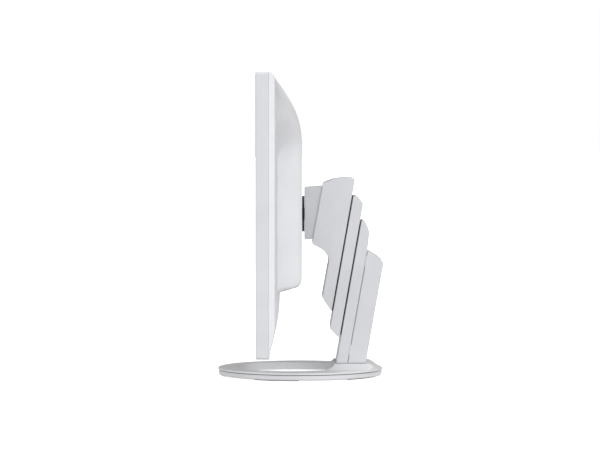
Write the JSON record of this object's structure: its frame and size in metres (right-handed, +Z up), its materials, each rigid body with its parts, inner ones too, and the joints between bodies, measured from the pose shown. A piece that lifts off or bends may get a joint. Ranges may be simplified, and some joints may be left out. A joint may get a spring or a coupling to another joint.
{
  "type": "computer monitor",
  "caption": "Wide flat desktop display on a round ring base, with a leaning telescopic slab stand that lifts, swivels, tilts and rocks the head.",
  "frame": {"origin": "centre of the round base, on the desk surface", "axes": "+Z up; the screen faces -Y; +X is to the right of a person facing the screen"},
  "size_m": [0.646, 0.245, 0.4439],
  "materials": {
    "white_shell": "fine spark-eroded moulding grain, satin, very light cool grey-white",
    "white_metal": "fine-textured powder coat, satin white",
    "grey_metal": "satin light grey coat",
    "white_block": "die casting under a satin white coat",
    "foot_rubber": "dark matt rubber",
    "slide_plastic": "natural acetal, smooth",
    "bare_steel": "zinc-plated pressed or turned steel",
    "cast_slider": "die-cast, as cast",
    "dark_plastic": "dark grey moulded plastic",
    "board": "green solder mask",
    "screen": "anti-glare dark panel, switched off",
    "white_sheet": "white diffuser film",
    "clear_plastic": "clear acrylic",
    "tray_metal": "pressed aluminium sheet",
    "black_plastic": "black moulded plastic",
    "socket_metal": "nickel-plated socket shell",
    "key_plastic": "smooth light grey keycap"
  },
  "bodies": {
    "base": {"base_ring": "grey_metal", "foot_pad_1": "foot_rubber", "foot_pad_2": "foot_rubber", "foot_pad_3": "foot_rubber", "foot_pad_4": "foot_rubber", "foot_pad_5": "foot_rubber", "glide_ring": "slide_plastic"},
    "turntable": {"turntable_plate": "white_metal", "retaining_ring": "bare_steel", "column_front": "white_shell", "column_rear_cover": "white_shell", "column_frame": "bare_steel", "lower_rail": "bare_steel", "lift_spring_drum": "bare_steel"},
    "middle_slab": {"middle_shell": "white_shell", "upper_rail": "bare_steel", "lower_slider": "cast_slider"},
    "carriage": {"carriage_shell": "white_shell", "upper_slider": "cast_slider", "tilt_bracket": "bare_steel", "tilt_pin": "bare_steel", "tilt_spring_left": "bare_steel", "tilt_spring_right": "bare_steel"},
    "neck": {"tilt_block": "white_block", "pivot_shaft": "bare_steel", "pivot_nut": "bare_steel", "pivot_washer": "slide_plastic"},
    "head": {"pivot_disc": "dark_plastic", "stand_plate": "grey_metal", "plate_screw_1": "bare_steel", "plate_screw_2": "bare_steel", "plate_screw_3": "bare_steel", "plate_screw_4": "bare_steel", "rear_cover": "white_shell", "front_bezel": "white_shell", "sensor_window": "dark_plastic", "key_board": "board", "lcd_panel": "screen", "optical_sheets": "white_sheet", "light_guide": "clear_plastic", "led_bar": "tray_metal", "backlight_tray": "tray_metal", "chassis_bracket": "bare_steel", "main_board": "board", "power_board": "board", "socket_panel": "tray_metal", "power_inlet": "black_plastic", "video_socket_1": "socket_metal", "video_socket_2": "socket_metal", "usb_socket": "socket_metal", "audio_socket": "black_plastic", "switch_frame": "black_plastic", "speaker_left": "black_plastic", "speaker_right": "black_plastic"},
    "menu_key_body": {"menu_key": "key_plastic"},
    "down_key_body": {"down_key": "key_plastic"},
    "up_key_body": {"up_key": "key_plastic"},
    "enter_key_body": {"enter_key": "key_plastic"},
    "power_key_body": {"power_key": "key_plastic"},
    "rocker": {"power_rocker": "key_plastic"}
  },
  "joints": [
    {"name": "base_swivel", "type": "hinge", "parent": "base", "child": "turntable", "pos_m": [0, 0, 0.0085], "axis": [0, 0, 1], "range_deg": [-172, 172]},
    {"name": "middle_lift", "type": "slide", "parent": "turntable", "child": "middle_slab", "axis": [0, 0.1736, 0.9848], "range_m": [0, 0.0903]},
    {"name": "carriage_lift", "type": "slide", "parent": "middle_slab", "child": "carriage", "axis": [0, 0.1736, 0.9848], "range_m": [0, 0.0903]},
    {"name": "head_tilt", "type": "hinge", "parent": "carriage", "child": "neck", "pos_m": [0, 0.0348, 0.2404], "axis": [-1, 0, 0], "range_deg": [-5, 30]},
    {"name": "head_pivot", "type": "hinge", "parent": "neck", "child": "head", "pos_m": [0, 0, 0.2394], "axis": [0, 1, 0], "range_deg": [-5, 5]},
    {"name": "menu_key_press", "type": "slide", "parent": "head", "child": "menu_key_body", "axis": [0, 1, 0], "range_m": [0, 0.0008], "stiffness_N_per_m": 900, "springref_m": -0.0006},
    {"name": "down_key_press", "type": "slide", "parent": "head", "child": "down_key_body", "axis": [0, 1, 0], "range_m": [0, 0.0008], "stiffness_N_per_m": 900, "springref_m": -0.0006},
    {"name": "up_key_press", "type": "slide", "parent": "head", "child": "up_key_body", "axis": [0, 1, 0], "range_m": [0, 0.0008], "stiffness_N_per_m": 900, "springref_m": -0.0006},
    {"name": "enter_key_press", "type": "slide", "parent": "head", "child": "enter_key_body", "axis": [0, 1, 0], "range_m": [0, 0.0008], "stiffness_N_per_m": 900, "springref_m": -0.0006},
    {"name": "power_key_press", "type": "slide", "parent": "head", "child": "power_key_body", "axis": [0, 1, 0], "range_m": [0, 0.0008], "stiffness_N_per_m": 900, "springref_m": -0.0006},
    {"name": "rocker_throw", "type": "hinge", "parent": "head", "child": "rocker", "pos_m": [0.036, -0.0185, 0.1509], "axis": [0, -1, 0], "range_deg": [0, 13]}
  ],
  "couplings": [
    {"joint": "carriage_lift", "follows": "middle_lift", "ratio": 1}
  ]
}
